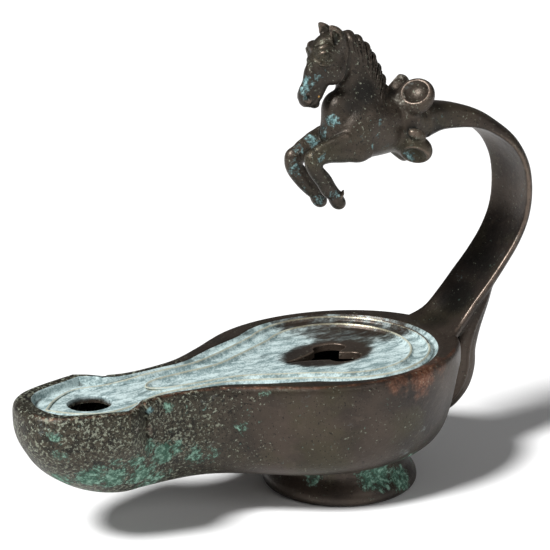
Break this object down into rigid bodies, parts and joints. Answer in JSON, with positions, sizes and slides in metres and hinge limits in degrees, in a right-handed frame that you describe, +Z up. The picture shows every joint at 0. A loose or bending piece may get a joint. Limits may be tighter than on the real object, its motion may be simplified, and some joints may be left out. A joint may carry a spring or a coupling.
{
  "type": "roman oil lamp",
  "caption": "Ancient bronze oil lamp with a round hollow body, long nozzle, leaf-shaped filling hole, ring foot and a ribbon handle ending in a horse forepart.",
  "frame": {"origin": "centre of the foot's underside, on the surface the lamp stands on", "axes": "+Z up; +X toward the back, where the handle rises; the nozzle points along -X and the horse looks along -X"},
  "size_m": [0.1746, 0.0682, 0.1435],
  "materials": {
    "patinated_bronze": "cast bronze gone dark brown, with green and pale blue corrosion and worn copper-coloured edges"
  },
  "bodies": {
    "root": {"lamp": "patinated_bronze"}
  },
  "joints": []
}
